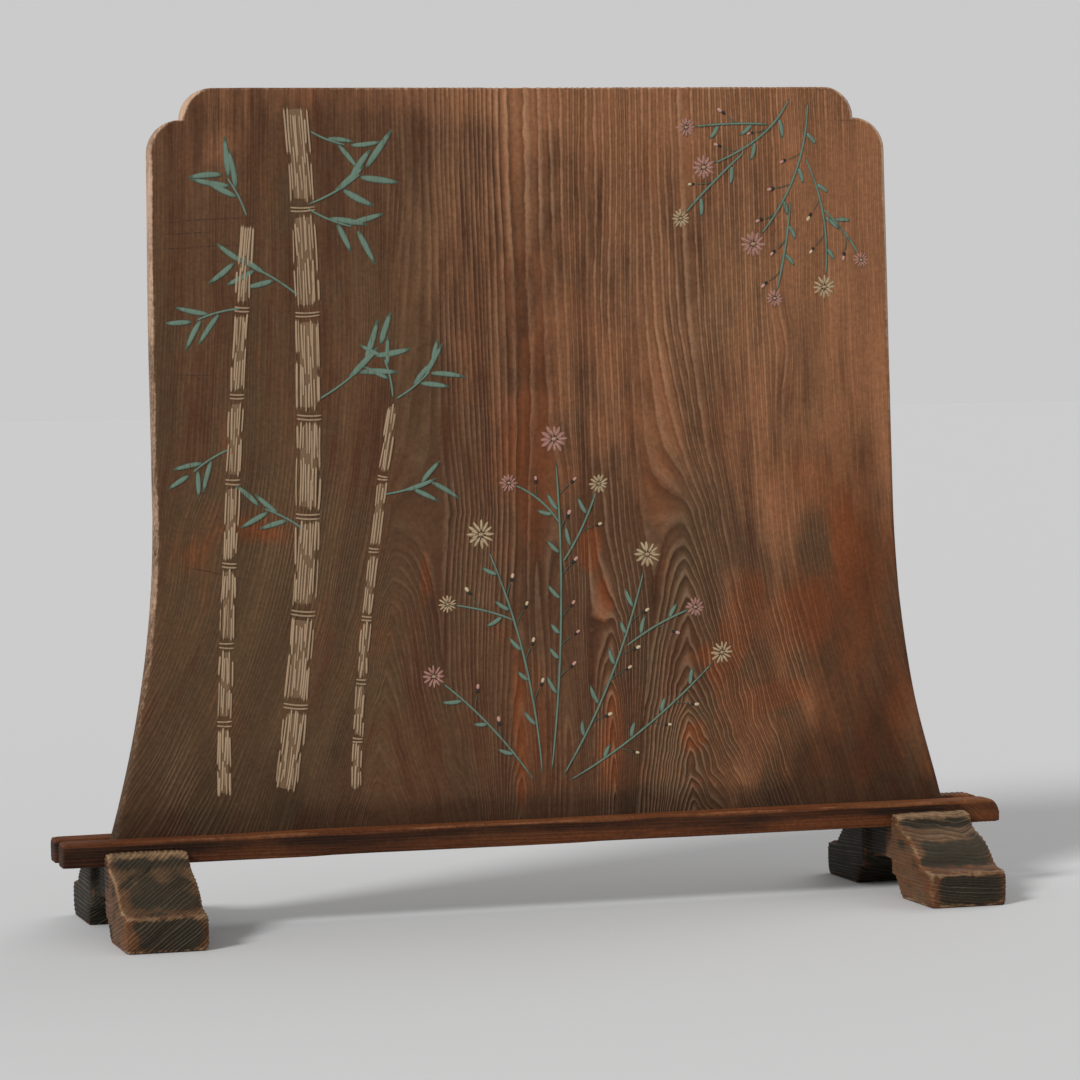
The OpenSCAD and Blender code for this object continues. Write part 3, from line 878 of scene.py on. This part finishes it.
reliefLook = {
    "root": 0.0143, "crown": 0.018, "wash": 0.0173, "ridge": 0.0186, "seed": 5,
    # widths of the strokes, and how far apart they lie in a cane
    "stem": 0.0056, "twig": 0.0058, "stalk": 0.003, "leaf": 0.0095, "bar": 0.0052,
    "strand": 0.0058, "strandGap": 0.0043,
    # each cane: from, bend, to (across and up), width, joints
    "canes": (
        ((-0.415, 0.205), (-0.335, 0.7), (-0.375, 1.308), 0.04, 7),
        ((-0.515, 0.205), (-0.5, 0.62), (-0.455, 1.12), 0.024, 7),
        ((-0.3, 0.205), (-0.29, 0.45), (-0.225, 0.83), 0.017, 6),
    ),
    # each twig of leaves: from, to, leaves, leaf length
    "twigs": (
        ((-0.364, 1.14), (-0.265, 1.195), 5, 0.095), ((-0.364, 1.14), (-0.28, 1.105), 4, 0.085),
        ((-0.366, 0.99), (-0.475, 1.055), 5, 0.08), ((-0.354, 0.83), (-0.245, 0.915), 5, 0.09),
        ((-0.455, 1.12), (-0.49, 1.19), 5, 0.085), ((-0.463, 0.98), (-0.545, 0.96), 4, 0.075),
        ((-0.225, 0.83), (-0.16, 0.88), 5, 0.075), ((-0.226, 0.83), (-0.24, 0.9), 3, 0.065),
        ((-0.252, 0.68), (-0.17, 0.7), 4, 0.07), ((-0.365, 0.62), (-0.445, 0.665), 4, 0.075),
        ((-0.487, 0.76), (-0.555, 0.72), 4, 0.07), ((-0.355, 1.26), (-0.29, 1.235), 3, 0.07),
    ),
    # each flower stem: from, bend, to, kind, petal length
    "stems": (
        ((0.01, 0.205), (0.000, 0.42), (-0.08, 0.6), "cream", 0.025),
        ((0.022, 0.205), (0.06, 0.47), (0.04, 0.75), "pink", 0.024),
        ((0.036, 0.205), (0.14, 0.36), (0.19, 0.56), "cream", 0.023),
        ((0.046, 0.205), (0.18, 0.27), (0.31, 0.4), "cream", 0.02),
        ((0.000, 0.205), (-0.07, 0.31), (-0.16, 0.38), "pink", 0.02),
        ((0.048, 0.56), (0.085, 0.61), (0.11, 0.68), "cream", 0.017),
        ((0.05, 0.62), (0.02, 0.67), (-0.03, 0.69), "pink", 0.016),
        ((0.15, 0.42), (0.205, 0.46), (0.265, 0.48), "pink", 0.017),
        ((-0.03, 0.47), (-0.07, 0.49), (-0.135, 0.5), "cream", 0.016),
        ((0.48, 1.312), (0.48, 1.18), (0.39, 1.08), "pink", 0.023),
        ((0.45, 1.312), (0.42, 1.24), (0.31, 1.2), "pink", 0.021),
        ((0.47, 1.22), (0.52, 1.12), (0.505, 1.01), "cream", 0.021),
        ((0.415, 1.265), (0.36, 1.27), (0.28, 1.262), "pink", 0.017),
        ((0.448, 1.145), (0.44, 1.06), (0.42, 0.99), "pink", 0.016),
        ((0.375, 1.225), (0.31, 1.17), (0.265, 1.12), "cream", 0.016),
        ((0.5, 1.13), (0.545, 1.09), (0.565, 1.05), "pink", 0.015),
    ),
}


def onBend(path, t):
    start, bend, end = (Vector(spot) for spot in path)
    spot = start * (1 - t) ** 2 + bend * (2 * t * (1 - t)) + end * t * t
    return spot, ((bend - start) * (1 - t) + (end - bend) * t).normalized()


def aside(run):
    return Vector((run.y, -run.x))


def heading(turn):
    return Vector((math.cos(turn), math.sin(turn)))


def straight(a, b, bow=0.0):
    # a path from a to b that bows to its right by a part of its length
    a, b = Vector(a), Vector(b)
    return a, (a + b) / 2 + aside(b - a) * bow, b


def layStroke(bm, path, wide, shape, look, across=4, along=10, crown=None):
    # one brush stroke of raised paint along a bent line; its edges sink into the wood
    root, crown = look["root"], crown or look["crown"]
    for v in bmesh.ops.create_grid(bm, x_segments=across, y_segments=along, size=1)["verts"]:
        side, t = v.co.x, (v.co.y + 1) / 2
        middle, run = onBend(path, t)
        full = shape(t)
        rise = (1 - abs(side) ** across) * min(1, full * 1.6)
        out = side * wide * full / 2
        v.co = (middle.x + run.y * out, -root - (crown - root) * rise, middle.y - run.x * out)


def brushShape(t):
    return (1 - abs(2 * t - 1) ** 5) ** 0.6


def washShape(t):
    return (1 - abs(2 * t - 1) ** 14) ** 0.6


def leafShape(t):
    return math.sin(math.pi * t ** 0.75) ** 0.9


def petalShape(t):
    return math.sin(math.pi * min(1, t * 0.86 + 0.08)) ** 0.7


def budShape(t):
    return math.sin(math.pi * t) ** 0.6


def layCane(bm, cane, look, rng):
    # each length between two joints is a thin wash with rough ridges of paint over it
    *path, wide, joints = cane
    strokes = round(wide / look["strandGap"])
    for j in range(joints):
        t0, t1 = j / joints + 0.003, (j + 1) / joints - 0.003
        wash = straight(onBend(path, t0)[0], onBend(path, t1)[0])
        layStroke(bm, wash, wide * 0.94, washShape, look, 6, 12, look["wash"])
        for k in range(strokes):
            off = (k + 0.5) / strokes - 0.5
            halt = rng.uniform(0.3, 0.7)  # the brush is lifted once on the way
            spans = ((max(0, rng.uniform(-0.1, 0.16)), halt),
                     (halt, 1 - max(0, rng.uniform(-0.1, 0.16))))
            for s0, s1 in spans:
                ends = []
                for s in (s0 - 0.02, s1 + 0.02):
                    spot, run = onBend(path, t0 + (t1 - t0) * s)
                    ends.append(spot + aside(run) * (wide * off + rng.uniform(-0.0016, 0.0016)))
                ridge = look["ridge"] - rng.uniform(0, 0.0007)
                strand = straight(*ends, rng.uniform(-0.03, 0.03))
                layStroke(bm, strand, look["strand"] * rng.uniform(0.7, 1.15), brushShape, look,
                          4, 6, ridge)
        if j:
            spot, run = onBend(path, j / joints)
            half = aside(run) * wide * 0.62
            for lift in (-0.003, 0.003):
                tip = run * rng.uniform(-0.0015, 0.0015)
                bar = straight(spot - half + run * lift, spot + half + run * lift + tip, 0.1)
                layStroke(bm, bar, look["bar"], brushShape, look, 4, 8)


def layTwig(bm, twig, look, rng):
    start, end, leaves, size = twig
    path = straight(start, end, 0.1)
    layStroke(bm, path, look["twig"], brushShape, look, 4, 10)
    for k in range(leaves):
        spot, run = onBend(path, 0.45 + 0.55 * k / (leaves - 1))
        turn = math.atan2(run.y, run.x) + (-1) ** k * rng.uniform(0.35, 0.8)
        turn -= 0.25 * (1 if run.x > 0 else -1)
        tip = spot + heading(turn) * size * rng.uniform(0.7, 1.0)
        leaf = straight(spot, tip, rng.uniform(-0.08, 0.08))
        layStroke(bm, leaf, size * 0.155, leafShape, look, 6, 10)


def layDaisy(paints, kind, spot, size, look, rng):
    for ring, count, reach, inner in ((0, 12, 1.0, 0.26), (1, 8, 0.66, 0.14)):
        for k in range(count):
            out = heading(2 * math.pi * (k + rng.uniform(-0.14, 0.14)) / count + ring * 0.3)
            tip = spot + out * size * reach * rng.uniform(0.88, 1.05)
            layStroke(paints[kind], straight(spot + out * size * inner, tip),
                      size * (0.5 - 0.08 * ring), petalShape, look, 2, 6)
    middle = Vector((size * 0.22, 0))
    layStroke(paints["cane"], straight(spot - middle, spot + middle), size * 0.44, budShape,
              look, 4, 6, look["crown"] + 0.0002)
    for k in range(5):
        out = heading(2 * math.pi * (k + rng.uniform(-0.2, 0.2)) / 5) * size
        layStroke(paints["dark"], straight(spot + out * 0.13, spot + out * 0.3), size * 0.12,
                  budShape, look, 2, 5, look["crown"] + 0.0004)


def layBud(blossom, dark, spot, run, size, look):
    run = run * size
    cup = straight(spot - run * 0.5, spot + run * 0.4)
    tuft = straight(spot + run * 0.1, spot + run * 1.15)
    layStroke(dark, cup, size * 0.75, budShape, look, 4, 5)
    layStroke(blossom, tuft, size * 0.85, budShape, look, 4, 6)


def layFlowerStem(paints, stem, look, rng):
    *path, kind, size = stem
    layStroke(paints["leaf"], path, look["stem"], brushShape, look, 4, 16)
    spot, run = onBend(path, 1)
    layDaisy(paints, kind, spot + run * size * 0.5, size, look, rng)
    length = (Vector(path[2]) - Vector(path[0])).length
    count = max(2, round(length / 0.045))
    for k in range(count):
        spot, run = onBend(path, 0.22 + 0.66 * k / count + rng.uniform(0, 0.05))
        hand = (-1) ** k
        out = heading(math.atan2(run.y, run.x) + hand * rng.uniform(0.5, 0.9))
        # buds on stalks and leaves take turns
        if k % 2:
            reach = rng.uniform(0.022, 0.034)
            stalk = straight(spot, spot + out * reach, 0.1 * hand)
            layStroke(paints["leaf"], stalk, look["stalk"], brushShape, look, 2, 6)
            layBud(paints[kind], paints["dark"], spot + out * (reach + 0.003), out,
                   rng.uniform(0.008, 0.011), look)
        else:
            leaf = straight(spot, spot + out * rng.uniform(0.026, 0.042), -0.12 * hand)
            layStroke(paints["leaf"], leaf, look["leaf"], leafShape, look, 6, 8)


def mineralPaint(name, look):
    # chalky paint, rubbed thin along the grain
    material, tree = emptyMaterial(name)
    spot = addNode(tree, "ShaderNodeTexCoord").outputs["Object"]
    depth = addNode(tree, "ShaderNodeSeparateXYZ", {0: spot}).outputs[1]
    stretch = addNode(tree, "ShaderNodeMapping", {"Vector": spot, "Scale": (260.0, 60.0, 26.0)})
    grain = noise(tree, stretch.outputs[0], 1.0, 3.0, 0.6)
    clouds = noise(tree, spot, 38.0, 3.0, 0.55)
    stand = spread(tree, depth, -0.0171, -0.0183)
    mixed = plus(tree, times(tree, grain, 0.6), times(tree, clouds, 0.4))
    shade = plus(tree, times(tree, mixed, 0.8), times(tree, stand, 0.55))
    colour = tint(tree, spread(tree, shade, 0.4, 0.98), look["deep"], look["light"])
    rubbed = plus(tree, times(tree, grain, 0.55), times(tree, clouds, 0.45))
    thin = spread(tree, rubbed, look["rubFrom"], look["rubFrom"] - 0.16, 0.0, 0.8)
    colour = tint(tree, thin, colour, look["under"])
    bump = addNode(tree, "ShaderNodeBump", {"Height": grain, "Distance": 0.0006}).outputs[0]
    finishMaterial(tree, colour, 0.85, bump, 0.15)
    return material


paintLook = {
    "cane": {
        "piece": "cane_strokes", "slot": "cane_tan", "deep": (0.165, 0.1, 0.055),
        "light": (0.35, 0.245, 0.155), "under": (0.095, 0.048, 0.024), "rubFrom": 0.42,
    },
    "leaf": {
        "piece": "leaf_sprays", "slot": "leaf_green", "deep": (0.062, 0.092, 0.066),
        "light": (0.14, 0.21, 0.16), "under": (0.09, 0.052, 0.028), "rubFrom": 0.46,
    },
    "cream": {
        "piece": "cream_daisies", "slot": "petal_cream", "deep": (0.3, 0.215, 0.12),
        "light": (0.56, 0.45, 0.3), "under": (0.15, 0.09, 0.048), "rubFrom": 0.38,
    },
    "pink": {
        "piece": "pink_daisies", "slot": "petal_pink", "deep": (0.27, 0.135, 0.105),
        "light": (0.5, 0.29, 0.235), "under": (0.14, 0.07, 0.04), "rubFrom": 0.4,
    },
    "dark": {
        "piece": "dark_buds", "slot": "bud_dark", "deep": (0.014, 0.014, 0.013),
        "light": (0.034, 0.034, 0.031), "under": (0.06, 0.036, 0.022), "rubFrom": 0.36,
    },
}
paints = {kind: bmesh.new() for kind in paintLook}
rng = random.Random(reliefLook["seed"])
for cane in reliefLook["canes"]:
    layCane(paints["cane"], cane, reliefLook, rng)
for twig in reliefLook["twigs"]:
    layTwig(paints["leaf"], twig, reliefLook, rng)
for stem in reliefLook["stems"]:
    layFlowerStem(paints, stem, reliefLook, rng)
for kind, look in paintLook.items():
    mesh = meshFrom(paints[kind], look["piece"])
    makePiece(look["piece"], mesh, "plank", mineralPaint(look["piece"], look))
print("design laid")


# Floor, light and background

studio = {
    "floorColour": (0.6, 0.6, 0.6), "backColour": (0.595, 0.595, 0.595), "skyLight": 0.5,
    "floorRadius": 60, "floorRough": 0.9, "floorShine": 0.1,
    "keyFrom": (-0.72, -0.55, 0.55), "keyPower": 2.4, "keySoft": 14,
    "rimFrom": (0.8, 0.45, 0.75), "rimPower": 0.5, "rimSoft": 40,
}


def addSun(name, place, power, soft):
    light = bpy.data.lights.new(name, "SUN")
    light.energy = power
    light.angle = math.radians(soft)
    holder = placed(name, light)
    holder.rotation_mode = "QUATERNION"
    holder.rotation_quaternion = Vector(place).to_track_quat("Z", "Y")


def makeStudio(look):
    bm = bmesh.new()
    bmesh.ops.create_circle(bm, cap_ends=True, segments=96, radius=look["floorRadius"])
    mesh = meshFrom(bm, "floor")
    floor = placed("floor", mesh)
    paper = bpy.data.materials.new("floorPaper")
    paper.use_nodes = True
    shader = paper.node_tree.nodes["Principled BSDF"]
    shader.inputs["Base Color"].default_value = (*look["floorColour"], 1)
    shader.inputs["Roughness"].default_value = look["floorRough"]
    shader.inputs["Specular IOR Level"].default_value = look["floorShine"]
    mesh.materials.append(paper)
    world = bpy.data.worlds.new("studio")
    bpy.context.scene.world = world
    world.use_nodes = True
    tree = world.node_tree
    tree.nodes.clear()
    rays = addNode(tree, "ShaderNodeLightPath").outputs
    seen = addNode(tree, "ShaderNodeBackground", {
        "Color": (*look["backColour"], 1), "Strength": 1.0})
    soft = addNode(tree, "ShaderNodeBackground", {
        "Color": (1, 1, 1, 1), "Strength": look["skyLight"]})
    mirrored = calc(tree, "MAXIMUM", rays["Is Glossy Ray"], rays["Is Transmission Ray"])
    shown = calc(tree, "MAXIMUM", rays["Is Camera Ray"], mirrored)
    both = addNode(tree, "ShaderNodeMixShader", {0: shown, 1: soft.outputs[0], 2: seen.outputs[0]})
    addNode(tree, "ShaderNodeOutputWorld", {0: both.outputs[0]})
    addSun("keyLamp", look["keyFrom"], look["keyPower"], look["keySoft"])
    addSun("rimLamp", look["rimFrom"], look["rimPower"], look["rimSoft"])
    bpy.context.scene.view_settings.view_transform = "Standard"


makeStudio(studio)
print("studio lit")
